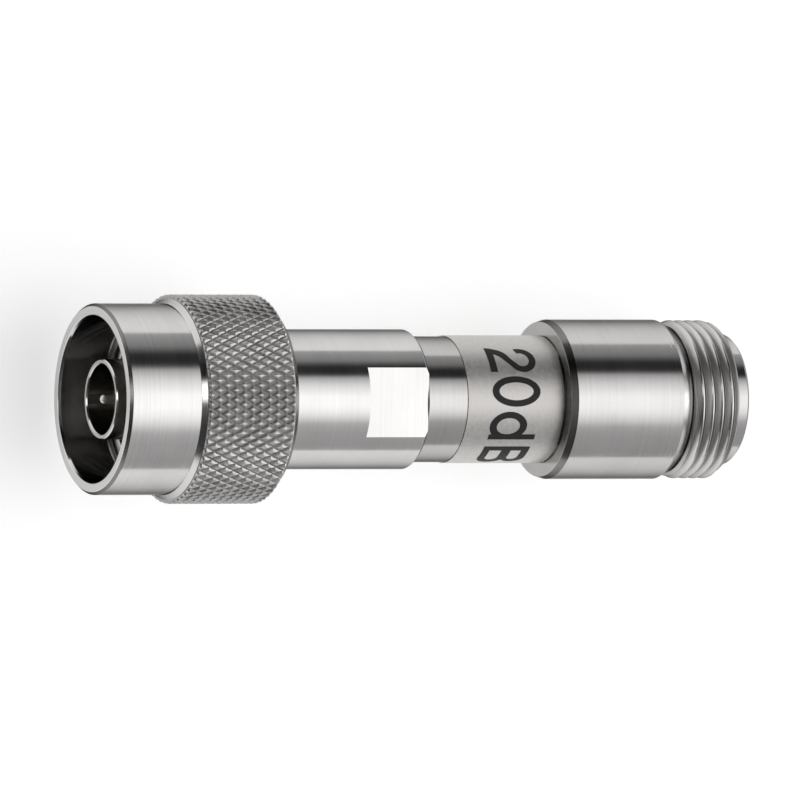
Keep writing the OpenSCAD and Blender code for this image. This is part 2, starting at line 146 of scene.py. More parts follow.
class Shell:
    """Rings of points about the axis and the faces between them, with a normal at each face corner.

    Rings are joined in the order in which the section is walked, with the outside on the left.
    """

    def __init__(self, angles):
        self.angles = np.asarray(angles, float)
        self.sides = len(self.angles)
        self.points = []
        self.faces = []
        self.normals = []

    def ring(self, x, radius):
        """Adds a ring, with one radius or one for each side, and returns its point numbers."""
        radius = np.broadcast_to(np.asarray(radius, float), (self.sides,))
        station = np.broadcast_to(np.asarray(x, float), (self.sides,))
        start = len(self.points)
        self.points.extend(zip(station, radius * np.cos(self.angles), radius * np.sin(self.angles)))
        return np.arange(start, start + self.sides)

    def pole(self, x):
        """Adds a point on the axis, as a ring that is one point all round."""
        self.points.append((x, 0.0, 0.0))
        return np.full(self.sides, len(self.points) - 1)

    def spread(self, normal):
        """Turns a normal (along, outward) of the section into one normal for each side."""
        along, outward = (np.broadcast_to(np.asarray(n, float), (self.sides,)) for n in normal)
        return np.stack([along, outward * np.cos(self.angles), outward * np.sin(self.angles)], 1)

    def face(self, corners, normals):
        """Adds one face, without the corners that fall on the same point."""
        kept = [k for k, c in enumerate(corners) if c != corners[k - 1]]
        if len(kept) > 2:
            self.faces.append([int(corners[k]) for k in kept])
            self.normals.extend(tuple(normals[k]) for k in kept)

    def band(self, a, b, normal_a, normal_b, columns=None):
        """Joins two rings with smooth faces. A normal is (along, outward) or an array for all sides."""
        normal_a = normal_a if np.ndim(normal_a) == 2 else self.spread(normal_a)
        normal_b = normal_b if np.ndim(normal_b) == 2 else self.spread(normal_b)
        for i in range(self.sides) if columns is None else columns:
            j = (i + 1) % self.sides
            self.face((a[i], a[j], b[j], b[i]), (normal_a[i], normal_a[j], normal_b[j], normal_b[i]))

    def facets(self, a, b, columns, fold):
        """Joins two rings with flat triangles. fold(i) says which diagonal of a cell is the fold."""
        for i in columns:
            j = (i + 1) % self.sides
            if fold(i):
                cells = ((a[i], a[j], b[i]), (a[j], b[j], b[i]))
            else:
                cells = ((a[i], a[j], b[j]), (a[i], b[j], b[i]))
            for cell in cells:
                p, q, r = (np.array(self.points[k]) for k in cell)
                normal = np.cross(q - p, r - p)
                size = np.linalg.norm(normal)
                if size > 0:
                    self.face(cell, [normal / size] * 3)

    def walk(self, stations):
        """Joins the rings of an open stretch of section and returns its first and last ring."""
        rings = [self.pole(s[0]) if s[1] == 0 else self.ring(s[0], s[1]) for s in stations]
        for k in range(len(rings) - 1):
            self.band(rings[k], rings[k + 1], stations[k][3], stations[k + 1][2])
        return rings[0], rings[-1]

    def make(self, name):
        """Makes the mesh object, in metres."""
        mesh = bpy.data.meshes.new(name)
        mesh.from_pydata((np.array(self.points) * MM).tolist(), [], self.faces)
        mesh.polygons.foreach_set("use_smooth", np.ones(len(mesh.polygons), bool))
        mesh.normals_split_custom_set(self.normals)
        obj = bpy.data.objects.new(name, mesh)
        bpy.context.scene.collection.objects.link(obj)
        return obj


def even_angles(sides):
    return np.linspace(0, 2 * math.pi, sides, endpoint=False)


def rounded(corners):
    """Stations (x, radius, normal before, normal after) along corners (x, radius, fillet)."""
    points = [np.array(c[:2], float) for c in corners]
    stations = []
    for k, point in enumerate(points):
        before = points[k] - points[k - 1] if k > 0 else None
        after = points[k + 1] - points[k] if k + 1 < len(points) else None
        if before is None or after is None:
            run = after if before is None else before
            run = run / np.linalg.norm(run)
            normal = (-run[1], run[0])
            stations.append((point[0], point[1], normal, normal))
            continue
        room = 0.45 * min(np.linalg.norm(before), np.linalg.norm(after))
        before, after = before / np.linalg.norm(before), after / np.linalg.norm(after)
        n1, n2 = np.array([-before[1], before[0]]), np.array([-after[1], after[0]])
        turn = math.atan2(before[0] * after[1] - before[1] * after[0], before @ after)
        fillet = corners[k][2]
        if fillet == 0 or abs(turn) < 0.01:
            stations.append((point[0], point[1], tuple(n1), tuple(n2)))
            continue
        reach = min(fillet * math.tan(abs(turn) / 2), room)
        radius = reach / math.tan(abs(turn) / 2)
        side = -1 if turn < 0 else 1
        centre = point - before * reach + n1 * radius * side
        steps = max(2, math.ceil(abs(turn) / math.radians(20)))
        for step in range(steps + 1):
            a = turn * step / steps
            normal = np.array([n1[0] * math.cos(a) - n1[1] * math.sin(a),
                               n1[0] * math.sin(a) + n1[1] * math.cos(a)])
            x, r = centre - normal * radius * side
            stations.append((x, r, tuple(normal), tuple(normal)))
    return stations


def lathe(name, corners, sides=192):
    """Turns a closed section of corners (x, radius, fillet) about the axis."""
    shell = Shell(even_angles(sides))
    middle = [(corners[0][i] + corners[-1][i]) / 2 for i in (0, 1)]
    start = (middle[0], middle[1], 0)
    stations = rounded([start, *corners, start])[:-1]
    first, last = shell.walk(stations)
    shell.band(last, first, stations[-1][3], stations[0][2])
    return shell.make(name)


def thread_height(along):
    """Height of a V thread with narrow crests, from 0 in its groove to 1 on its crest, along the helix."""
    def straight(offset):
        saw = np.abs(2 * np.mod((along + offset) / THREAD_PITCH, 1) - 1)
        return np.clip((saw - THREAD_GROOVE) / THREAD_FLANK, 0, 1)
    samples = THREAD_SOFTNESS * np.linspace(-1, 1, 5)
    return sum(straight(offset) for offset in samples) / len(samples)


def slope_normals(surface, x, angle, inward):
    """Normals of a surface of radius surface(x, angle), from its slopes."""
    small = 0.004
    turn = small / surface(x, angle)
    slope_x = (surface(x + small, angle) - surface(x - small, angle)) / (2 * small)
    slope_a = (surface(x, angle + turn) - surface(x, angle - turn)) / (2 * small)
    cos, sin = np.cos(angle), np.sin(angle)
    normal = np.stack([-slope_x, cos + slope_a * sin, sin - slope_a * cos], -1)
    return normal * (-1 if inward else 1) / np.linalg.norm(normal, axis=-1, keepdims=True)


def surface_band(shell, surface, stations, inward=False, fold=None):
    """Rings of a stretch with radius surface(x, angle), such as a thread, and normals from its slopes.

    With fold(row, side), each cell is two triangles with a crisp edge between them.
    """
    rings = [shell.ring(x, surface(x, shell.angles)) for x in stations]
    pairs = list(zip(rings, rings[1:]))
    if fold is None:
        normals = [slope_normals(surface, x, shell.angles, inward) for x in stations]
        for k, (a, b) in enumerate(pairs):
            shell.band(a, b, normals[k], normals[k + 1])
        return rings[0], rings[-1]

    cells = []
    for k, (a, b) in enumerate(pairs):
        for i in range(shell.sides):
            j = (i + 1) % shell.sides
            if fold(k, i):
                cells += [(a[i], a[j], b[i]), (a[j], b[j], b[i])]
            else:
                cells += [(a[i], a[j], b[j]), (a[i], b[j], b[i])]
    corners = np.array(shell.points)[np.array(cells)]
    within = 0.8 * corners + 0.2 * corners.mean(axis=1, keepdims=True)
    angle = np.arctan2(within[..., 2], within[..., 1])
    for cell, normals in zip(cells, slope_normals(surface, within[..., 0], angle, inward)):
        shell.face(cell, normals)
    return rings[0], rings[-1]


def coupling_nut():
    """Sleeve, diamond knurl, collar and the threaded inside."""
    per_half_pitch = 4
    shell = Shell(even_angles(2 * KNURL_COUNT * per_half_pitch))
    front, back = nut_low.x, nut_high.x
    grip = front + SLEEVE_LENGTH
    knurl = grip + GRIP_BEVEL
    collar = back - BACK_BEVEL
    collar_r = GRIP_R - KNURL_DEPTH - CONTACT_EDGE
    mouth_end = front + MOUTH_DEPTH
    bore_r = MALE_R + NUT_GAP
    groove_r = ring_high.y + RING_GAP
    half_gasket = (gasket_high.x - gasket_low.x) / 2
    undercut = gasket_low.x - half_gasket
    step = gasket_high.x + half_gasket

    mouth_first, sleeve_last = shell.walk(rounded([
        (mouth_end, MOUTH_R, 0),
        (front + EDGE, MOUTH_R, 0.15),
        (front, MOUTH_R + CONTACT_EDGE, 0.15),
        (front, SLEEVE_R - EDGE, 0.06),
        (front + EDGE, SLEEVE_R, 0.08),
        (grip, SLEEVE_R, 0.05),
        (knurl, collar_r, 0),
    ]))

    run = collar - knurl - 2 * KNURL_LEAD
    first_tips = knurl + KNURL_LEAD

    def knurled(x, angle):
        """Diamonds between two crossing sets of grooves, with their tips rubbed round."""
        def from_tip(half_pitches):
            return np.abs(np.mod(half_pitches + 1, 2) - 1)
        around = from_tip(angle * KNURL_COUNT / math.pi + 1)
        along = from_tip((x - first_tips) * KNURL_ROWS / run)
        ends = np.minimum(x - knurl, collar - x) / KNURL_LEAD
        height = np.minimum(np.abs(1 - around - along), np.maximum(ends, 0))
        return GRIP_R - KNURL_SHOWN * (1 - height) ** 2

    knurl_rows = np.concatenate([
        [knurl, knurl + KNURL_LEAD / 2],
        np.linspace(first_tips, first_tips + run, KNURL_ROWS * per_half_pitch + 1),
        [collar - KNURL_LEAD / 2, collar],
    ])

    def groove_fold(row, side):
        return (side // per_half_pitch + 1 + (row - 2) // per_half_pitch) % 2 == 0

    knurl_first, knurl_last = surface_band(shell, knurled, knurl_rows, fold=groove_fold)
    shell.band(sleeve_last, knurl_first, (-1, 0), (-1, 0))

    tail = rounded([
        (collar, collar_r, 0),
        (back, collar_r - BACK_BEVEL, 0.08),
        (back, bore_r + EDGE, 0.05),
        (back - EDGE, bore_r, 0.03),
        (ring_high.x + RING_GAP, bore_r, 0.03),
        (ring_high.x + RING_GAP, groove_r, 0),
        (ring_low.x - RING_GAP, groove_r, 0),
        (ring_low.x - RING_GAP, bore_r, 0.03),
        (step, bore_r, 0.03),
        (step, UNDERCUT_R, 0),
        (undercut, UNDERCUT_R, 0),
        (undercut, NUT_THREAD_R, 0),
    ])
    rings = [shell.ring(s[0], s[1]) for s in tail[:-1]]
    shell.band(knurl_last, rings[0], (1, 0), (1, 0))
    for k in range(len(rings) - 1):
        shell.band(rings[k], rings[k + 1], tail[k][3], tail[k + 1][2])

    def inside(x, angle):
        crest = NUT_THREAD_R + THREAD_DEPTH * (1 - thread_height(x - THREAD_PITCH * angle / (2 * math.pi)))
        return np.maximum(crest, MOUTH_R - (x - mouth_end) * MOUTH_CONE_SLOPE)

    sliver = 0.01
    thread_rows = np.linspace(undercut, mouth_end + sliver, 72)
    thread_first, thread_last = surface_band(shell, inside, thread_rows, inward=True)
    shell.band(rings[-1], thread_first, (-1, 0), (-1, 0))
    shell.band(thread_last, mouth_first, (0, -1), (0, -1))
    return shell.make("nut_knurled")


def male_body():
    """Barrel with the retaining ring's groove and two wrench flats."""
    front, end = male_low.x, male_high.x
    flat_start = end - FLAT_LENGTH
    hole_r = CONTACT_ROOT_R + FIT_GAP
    bore_r = SPIGOT_R + FIT_GAP
    flange = contact_high.x - FLANGE_T
    groove_r = MALE_R - RING_BITE - FIT_GAP
    rims = rounded([
        (flat_start, MALE_R, 0),
        (end - EDGE, MALE_R, 0.12),
        (end, MALE_R - EDGE, 0.08),
        (end, bore_r, 0),
    ])

    # A column of points where each ring of the rim meets the flat, so that the cut has a clean edge
    rim_radii = sorted({round(r, 6) for _, r, *_ in rims if r > FLAT_HALF})
    meets = [math.acos(FLAT_HALF / r) for r in rim_radii]
    narrow, half = meets[0], meets[-1]
    across = [*np.negative(meets[:0:-1]), *np.linspace(-narrow, narrow, 21), *meets[1:-1]]
    flat_steps, round_steps = len(across), 72
    quarter = math.pi / 2
    angles = np.concatenate([
        quarter + np.array(across),
        np.linspace(quarter + half, 3 * quarter - half, round_steps, endpoint=False),
        3 * quarter + np.array(across),
        np.linspace(3 * quarter + half, 5 * quarter - half, round_steps, endpoint=False),
    ])
    shell = Shell(angles)
    second = flat_steps + round_steps
    flats = [*range(flat_steps), *range(second, second + flat_steps)]
    rounds = [i for i in range(shell.sides) if i not in flats]
    inner_points = [i for i in flats if i not in (0, second)]

    def far_half(i):
        return i % second >= flat_steps // 2

    head = rounded([
        (front, hole_r, 0),
        (front, MALE_R - EDGE, 0.05),
        (front + EDGE, MALE_R, 0.05),
        (ring_low.x - FIT_GAP, MALE_R, 0.02),
        (ring_low.x - FIT_GAP, groove_r, 0),
        (ring_high.x + FIT_GAP, groove_r, 0),
        (ring_high.x + FIT_GAP, MALE_R, 0.02),
        (flat_start, MALE_R, 0),
    ])
    first, barrel_end = shell.walk(head)

    flat_r = np.full(shell.sides, MALE_R)
    flat_r[inner_points] = FLAT_HALF / np.abs(np.sin(angles[inner_points]))
    step = barrel_end.copy()
    fresh = shell.ring(flat_start, flat_r)
    step[inner_points] = fresh[inner_points]
    shell.band(barrel_end, step, (1, 0), (1, 0), flats)

    flat_normal = np.zeros((shell.sides, 3))
    flat_normal[:, 2] = np.where(np.sin(angles) > 0, 1, -1)
    previous = step
    for k in range(1, len(rims)):
        x, r = rims[k][:2]
        ring = shell.ring(x, np.minimum(flat_r, r))
        shell.band(previous, ring, rims[k - 1][3], rims[k][2], rounds)
        whole = k == len(rims) - 1
        uncut = k == 1
        if whole:
            shell.band(previous, ring, (1, 0), (1, 0), flats)
        elif uncut:
            shell.band(previous, ring, flat_normal, flat_normal, flats)
        else:
            shell.facets(previous, ring, flats, far_half)
        previous = ring
    inner = rounded([
        (end, bore_r, 0),
        (flange, bore_r, 0),
        (flange, hole_r, 0),
        (front, hole_r, 0),
    ])
    rings = [previous] + [shell.ring(s[0], s[1]) for s in inner[1:-1]] + [first]
    for k in range(len(rings) - 1):
        shell.band(rings[k], rings[k + 1], inner[k][3], inner[k + 1][2])
    return shell.make("barrel_male")


def female_body():
    """Barrel with a shoulder, a groove, the jack's thread and a plain end."""
    shell = Shell(even_angles(256))
    shoulder, end = female_low.x, female_high.x
    pilot = end - PILOT_LENGTH
    thread = pilot - JACK_THREAD_LENGTH
    groove = thread - GROOVE_W
    plane = jack_sleeve_high.x
    bore_r = SPIGOT_R + FIT_GAP
    chamfer_w, chamfer_h = FEMALE_CHAMFER
    shoulder_w, shoulder_h = SHOULDER_CHAMFER

    scores = []
    for ahead in reversed(FEMALE_SCORES):
        scores.append((groove - ahead - SCORE_W, FEMALE_R, 0))
        scores.append((groove - ahead, FEMALE_R - SCORE_DEPTH, 0))
        scores.append((groove - ahead + SCORE_W, FEMALE_R, 0))
    first, groove_last = shell.walk(rounded([
        (shoulder, bore_r, 0),
        (shoulder, FEMALE_R - shoulder_h, 0.06),
        (shoulder + shoulder_w, FEMALE_R, 0.1),
        *scores,
        (groove - chamfer_w, FEMALE_R, 0.15),
        (groove, FEMALE_R - chamfer_h, 0.08),
        (groove, GROOVE_R, 0.05),
        (thread, GROOVE_R, 0),
    ]))

    root_r = JACK_THREAD_R - THREAD_DEPTH

    def outside(x, angle):
        height = thread_height(x - THREAD_PITCH * angle / (2 * math.pi))
        chamfer = np.maximum(np.minimum(x - thread, pilot - x), 0)
        return root_r + np.minimum(THREAD_DEPTH * height, chamfer)

    thread_rows = np.linspace(thread, pilot, 96)
    thread_first, thread_last = surface_band(shell, outside, thread_rows)
    shell.band(groove_last, thread_first, (-1, 0), (-1, 0))
    tail = rounded([
        (pilot, root_r, 0),
        (pilot, PILOT_R, 0.05),
        (end - EDGE, PILOT_R, 0.08),
        (end, PILOT_R - EDGE, 0.06),
        (end, JACK_BORE_R + EDGE, 0.05),
        (end - EDGE, JACK_BORE_R, 0.05),
        (plane, JACK_BORE_R, 0),
        (plane, bore_r, 0),
        (shoulder, bore_r, 0),
    ])
    rings = [thread_last] + [shell.ring(s[0], s[1]) for s in tail[1:-1]] + [first]
    for k in range(len(rings) - 1):
        shell.band(rings[k], rings[k + 1], tail[k][3], tail[k + 1][2])
    return shell.make("barrel_female")


def neck_tube():
    """Neck with its two spigots and the bore for the card holder."""
    return lathe("neck_tube", [
        (neck_low.x, LINE_BORE_R, 0),
        (neck_low.x, SPIGOT_R, 0.05),
        (male_high.x, SPIGOT_R, 0),
        (male_high.x, NECK_R, 0.06),
        (female_low.x, NECK_R, 0.06),
        (female_low.x, SPIGOT_R, 0),
        (neck_high.x, SPIGOT_R, 0.05),
        (neck_high.x, HOLDER_R + FIT_GAP, 0),
        (holder_low.x, HOLDER_R + FIT_GAP, 0),
        (holder_low.x, LINE_BORE_R, 0),
    ])


def label_band():
    inner_r = NECK_R + FIT_GAP / 2
    soft = 0.02
    return lathe("label_band", [
        (label_low.x, inner_r, 0),
        (label_low.x, LABEL_R, soft),
        (label_high.x, LABEL_R, soft),
        (label_high.x, inner_r, 0),
    ], sides=256)


def contact_tube():
    flange = contact_high.x - FLANGE_T
    return lathe("contact_tube", [
        (contact_high.x, LINE_BORE_R, 0),
        (CONTACT_EDGE, LINE_BORE_R, 0.04),
        (0, LINE_BORE_R + CONTACT_EDGE, 0.04),
        (0, CONTACT_R - CONTACT_EDGE, 0.04),
        (CONTACT_EDGE, CONTACT_R, 0.04),
        (gasket_low.x, CONTACT_R, 0),
        (gasket_low.x, CONTACT_ROOT_R, 0.05),
        (flange, CONTACT_ROOT_R, 0),
        (flange, SPIGOT_R, 0.05),
        (contact_high.x, SPIGOT_R, 0.05),
    ], sides=128)


def pin_nose():
    """Rounded nose over the cone at the pin's tip."""
    shell = Shell(even_angles(64))
    radius, reach = PIN_R + PIN_PLATE, PIN_NOSE_LENGTH
    tip = pin_low.x - PIN_NOSE_AHEAD
    stations = []
    for turn in np.linspace(0, math.pi / 2, 10):
        normal = np.array([-math.cos(turn) / reach, math.sin(turn) / radius])
        normal = tuple(normal / np.linalg.norm(normal))
        stations.append((tip + reach * (1 - math.cos(turn)), radius * math.sin(turn), normal, normal))
    x, r, normal = stations[-1][:3]
    shell.walk([*stations[:-1], (x, r, normal, (1, 0)), (x, 0, (1, 0), (1, 0))])
    return shell.make("pin_nose")


def gasket_ring():
    inner_r = CONTACT_ROOT_R + GASKET_GAP
    return lathe("gasket_ring", [
        (gasket_low.x, inner_r, 0.1),
        (gasket_low.x, gasket_high.y, 0.2),
        (gasket_high.x, gasket_high.y, 0.05),
        (gasket_high.x, inner_r, 0.05),
    ], sides=128)


def jack_sleeve():
    return lathe("jack_sleeve", [
        (jack_sleeve_low.x, LINE_BORE_R, 0),
        (jack_sleeve_low.x, SPIGOT_R, 0.05),
        (jack_sleeve_high.x, SPIGOT_R, 0.05),
        (jack_sleeve_high.x, LINE_BORE_R, 0.06),
    ], sides=128)


def arc(centre, radii, start, end, steps=28):
    """Points along an ellipse between two angles, in degrees from the reading direction."""
    turns = np.radians(np.linspace(start, end, steps))
    return [(centre[0] + radii[0] * math.cos(t), centre[1] + radii[1] * math.sin(t)) for t in turns]


def oval(centre, radii):
    return arc(centre, radii, 0, 360, 57)[:-1]


def smooth(points, steps=6):
    """Points of a smooth curve through the given ones."""
    p = np.array([points[0], *points, points[-1]], float)
    made = []
    for a, b, c, d in zip(p, p[1:], p[2:], p[3:]):
        for t in np.linspace(0, 1, steps, endpoint=False):
            made.append((2 * b + (c - a) * t + (2 * a - 5 * b + 4 * c - d) * t ** 2
                         + (3 * b - a - 3 * c + d) * t ** 3) / 2)
    return [tuple(q) for q in made] + [points[-1]]


# Signs of the print as closed loops (along, up) in millimetres, from the left end of their base line

def sign_two():
    centre, outer, inner = (1.60, 3.72), (1.48, 1.53), (0.83, 0.80)
    base, bar, right = 0.06, 0.82, 3.08
    hook_end, hook_start = -40, 200
    inside, outside = arc(centre, inner, hook_end, hook_start), arc(centre, outer, hook_start, hook_end)
    upper_edge = smooth([(0.02, 0.45), (0.33, 1.45), (0.80, 2.10), (1.56, 2.60), inside[0]])
    lower_edge = smooth([outside[-1], (1.90, 2.00), (1.25, 1.42), (0.90, bar)])
    return [[(0, base), *upper_edge, *inside[1:], *outside, *lower_edge[1:], (right, bar), (right, base)]]


def sign_zero():
    centre = (1.55, 2.60)
    return [oval(centre, (1.55, 2.64)), oval(centre, (0.90, 1.88))]


def sign_d():
    centre, bowl, counter = (1.54, 1.95), (1.55, 2.05), (0.89, 1.27)
    stem, right, top = 2.45, 3.07, 5.12
    meet = math.degrees(math.acos((stem - centre[0]) / bowl[0]))
    outside = arc(centre, bowl, -meet, meet - 360, 48)
    return [[(stem, top), (right, top), (right, 0), (stem, 0), *outside], oval(centre, counter)]


def sign_b():
    stem, top = 0.62, 5.05
    upper, lower = (1.90, 3.84), (1.98, 1.42)
    upper_hole, lower_hole = (1.85, 3.69), (1.92, 1.43)
    upper_bowl = arc(upper, (1.20, top - upper[1]), 90, -55)
    lower_bowl = arc(lower, (1.32, lower[1]), 62, -90)
    outside = [(0, 0), (0, top), *upper_bowl, *lower_bowl]
    holes = []
    for hole, radii in ((upper_hole, (0.56, 0.57)), (lower_hole, (0.64, 0.66))):
        holes.append([(stem, hole[1] - radii[1]), (stem, hole[1] + radii[1]), *arc(hole, radii, 90, -90)])
    return [outside, *holes]


def printed(name, loops, turn_from):
    """A sign wrapped on the label. It reads round the neck, with its top towards the jack."""
    base_x = label_low.x + PRINT_MARGIN
    curve = bpy.data.curves.new(name, "CURVE")
    curve.dimensions = "2D"
    curve.fill_mode = "BOTH"
    curve.extrude = INK_T / 2
    for loop in loops:
        spline = curve.splines.new("POLY")
        spline.points.add(len(loop) - 1)
        for point, (along, up) in zip(spline.points, loop):
            point.co = (along, up, 0, 1)
        spline.use_cyclic_u = True
    outline = bpy.data.objects.new(name + "_outline", curve)
    bpy.context.scene.collection.objects.link(outline)
    bpy.context.view_layer.update()
    flat = bpy.data.meshes.new_from_object(outline.evaluated_get(bpy.context.evaluated_depsgraph_get()))
    bpy.data.objects.remove(outline)

    bm = bmesh.new()
    bm.from_mesh(flat)
    bpy.data.meshes.remove(flat)
    bmesh.ops.remove_doubles(bm, verts=bm.verts, dist=1e-5)
    width = max(v.co.x for v in bm.verts)
    slices = 18
    for k in range(1, slices):
        bmesh.ops.bisect_plane(
            bm, geom=[*bm.verts, *bm.edges, *bm.faces], dist=1e-6,
            plane_co=(width * k / slices, 0, 0), plane_no=(1, 0, 0))
    bmesh.ops.dissolve_degenerate(bm, dist=1e-4, edges=bm.edges)
    for v in bm.verts:
        turn = math.radians(turn_from) + v.co.x / LABEL_R
        r = LABEL_R + INK_GAP + (INK_T if v.co.z > 0 else 0)
        v.co = Vector((base_x + v.co.y, -r * math.sin(turn), r * math.cos(turn))) * MM
    if bm.calc_volume(signed=True) < 0:
        bmesh.ops.reverse_faces(bm, faces=bm.faces)
    mesh = bpy.data.meshes.new(name)
    bm.to_mesh(mesh)
    bm.free()
    obj = bpy.data.objects.new(name, mesh)
    bpy.context.scene.collection.objects.link(obj)
    return obj


# Materials

class Nodes:
    """A material's node tree with short calls to add and join nodes."""

    def __init__(self, name):
        self.material = bpy.data.materials.new(name)
        self.material.use_nodes = True
        self.tree = self.material.node_tree
        self.shader = self.tree.nodes["Principled BSDF"]

    def add(self, kind, inputs=None, **settings):
        made = self.tree.nodes.new(kind)
        for key, value in settings.items():
            setattr(made, key, value)
        for key, value in (inputs or {}).items():
            if isinstance(value, bpy.types.NodeSocket):
                self.tree.links.new(value, made.inputs[key])
            else:
                made.inputs[key].default_value = value
        return made

    def link(self, source, target):
        self.tree.links.new(source, target)

    def noise(self, stretch, scale, detail=2.0):
        """Noise over the object's own coordinates, stretched along the axes."""
        coord = self.add("ShaderNodeTexCoord")
        place = self.add("ShaderNodeMapping", {"Vector": coord.outputs["Object"], "Scale": stretch})
        made = self.add("ShaderNodeTexNoise",
                        {"Vector": place.outputs["Vector"], "Scale": scale, "Detail": detail})
        return made.outputs["Fac"]

    def spread(self, value, low, high, new_low, new_high):
        made = self.add("ShaderNodeMapRange", {
            "Value": value, "From Min": low, "From Max": high, "To Min": new_low, "To Max": new_high})
        return made.outputs["Result"]

    def blend(self, factor, first, second):
        made = self.add("ShaderNodeMix", data_type="RGBA")
        self.link(factor, made.inputs["Factor"])
        made.inputs[6].default_value = (*first, 1)
        made.inputs[7].default_value = (*second, 1)
        return made.outputs[2]

    def sum(self, first, second):
        return self.add("ShaderNodeMath", {0: first, 1: second}, operation="ADD").outputs[0]

    def bump(self, height, strength, distance):
        made = self.add("ShaderNodeBump", {"Height": height, "Strength": strength, "Distance": distance})
        self.link(made.outputs["Normal"], self.shader.inputs["Normal"])

    def metal(self, edge_tint):
        """Makes the surface metal, darker where it is seen at a grazing angle, as painted shade along its
        edges.
        """
        self.shader.inputs["Metallic"].default_value = 1.0
        self.shader.inputs["Specular Tint"].default_value = (edge_tint, edge_tint, edge_tint, 1)


ALONG = (1.0, 0.004, 0.004)
EVEN = (1.0, 1.0, 1.0)
# Painted shade: the tint that darkens each metal where it is seen at a grazing angle.
TURNED_EDGE_SHADE, CUT_EDGE_SHADE = 0.2, 0.1

# Scales of the noise in lathe lines, grain and wear, and the height of fine relief in metres
LATHE_LINES, TURNED_WEAR = 9000, 260
KNURL_GRAIN, KNURL_WEAR = 4200, 500
LINE_STRENGTH, KNURL_STRENGTH = 0.02, 0.12
RELIEF, KNURL_RELIEF = 0.00002, 0.00003


def turned_metal(name, dark, light, roughness):
    """Bright turned metal with fine lathe lines around the axis, faint wear and painted shade on its
    grazing edges.
    """
    n = Nodes(name)
    fine = n.noise(ALONG, LATHE_LINES, 3.0)
    tone = n.sum(fine, n.noise(EVEN, TURNED_WEAR, 3.0))
    n.link(n.blend(n.spread(tone, 0.7, 1.3, 0, 1), dark, light), n.shader.inputs["Base Color"])
    n.link(n.spread(tone, 0.6, 1.4, roughness * 0.75, roughness * 1.3), n.shader.inputs["Roughness"])
    n.metal(TURNED_EDGE_SHADE)
    n.shader.inputs["Anisotropic"].default_value = 0.6
    n.shader.inputs["Anisotropic Rotation"].default_value = 0.25
    tangent = n.add("ShaderNodeTangent", direction_type="RADIAL", axis="X")
    n.link(tangent.outputs["Tangent"], n.shader.inputs["Tangent"])
    n.bump(fine, LINE_STRENGTH, RELIEF)
    return n.material


def shaded_thread_metal(name, root_r, crest_r, root, crest):
    """Cut thread: rough in its grooves, with painted shade that darkens them, and glossy on its crests,
    with a painted highlight that lightens them.
    """
    n = Nodes(name)
    groove_rough, crest_rough = 0.46, 0.18
    fine = n.noise(ALONG, LATHE_LINES, 3.0)
    coord = n.add("ShaderNodeTexCoord")
    across = n.add("ShaderNodeVectorMath", {0: coord.outputs["Object"], 1: (0, 1, 1)}, operation="MULTIPLY")
    radius = n.add("ShaderNodeVectorMath", {0: across.outputs["Vector"]}, operation="LENGTH")
    # Painted shade and highlight: the colour darkens towards the thread's root and lightens towards its
    # crest.
    height = n.spread(radius.outputs["Value"], root_r * MM, crest_r * MM, -0.15, 0.85)
    tone = n.sum(height, n.spread(fine, 0.3, 0.7, 0, 0.3))
    n.link(n.blend(n.spread(tone, 0, 1, 0, 1), root, crest), n.shader.inputs["Base Color"])
    n.link(n.spread(tone, 0.2, 1, groove_rough, crest_rough), n.shader.inputs["Roughness"])
    n.metal(CUT_EDGE_SHADE)
    n.bump(fine, LINE_STRENGTH, RELIEF)
    return n.material


def cut_metal(name, dark, light, roughness):
    """Knurled metal with grain and broad wear in its colour and gloss."""
    n = Nodes(name)
    grain = n.noise(EVEN, KNURL_GRAIN, 3.0)
    tone = n.sum(grain, n.noise(EVEN, KNURL_WEAR, 2.0))
    n.link(n.blend(n.spread(tone, 0.7, 1.3, 0, 1), dark, light), n.shader.inputs["Base Color"])
    n.link(n.spread(tone, 0.6, 1.4, roughness * 0.7, roughness * 1.4), n.shader.inputs["Roughness"])
    n.metal(CUT_EDGE_SHADE)
    n.bump(grain, KNURL_STRENGTH, KNURL_RELIEF)
    return n.material


def plain(name, dark, light, roughness, scale, metallic=0.0, bump=0.1):
    """A surface with fine grain in its colour, gloss and relief."""
    n = Nodes(name)
    grain = n.noise(EVEN, scale, 4.0)
    n.link(n.blend(n.spread(grain, 0.35, 0.65, 0, 1), dark, light), n.shader.inputs["Base Color"])
    n.link(n.spread(grain, 0.3, 0.7, roughness * 0.85, roughness * 1.15), n.shader.inputs["Roughness"])
    n.shader.inputs["Metallic"].default_value = metallic
    n.bump(grain, bump, RELIEF)
    return n.material


nickel = turned_metal("turned_nickel", (0.61, 0.60, 0.595), (0.68, 0.67, 0.665), 0.14)
neck_nickel = turned_metal("neck_nickel", (0.49, 0.48, 0.475), (0.56, 0.55, 0.545), 0.16)
jack_nickel = turned_metal("jack_nickel", (0.54, 0.53, 0.525), (0.61, 0.60, 0.595), 0.15)
nut_nickel = turned_metal("nut_nickel", (0.60, 0.59, 0.585), (0.68, 0.67, 0.665), 0.15)
# Painted highlight: a lighter copy of the nickel for the nut's front rim.
rim_highlight_nickel = turned_metal("rim_highlight_nickel", (0.80, 0.79, 0.78), (0.86, 0.85, 0.84), 0.18)
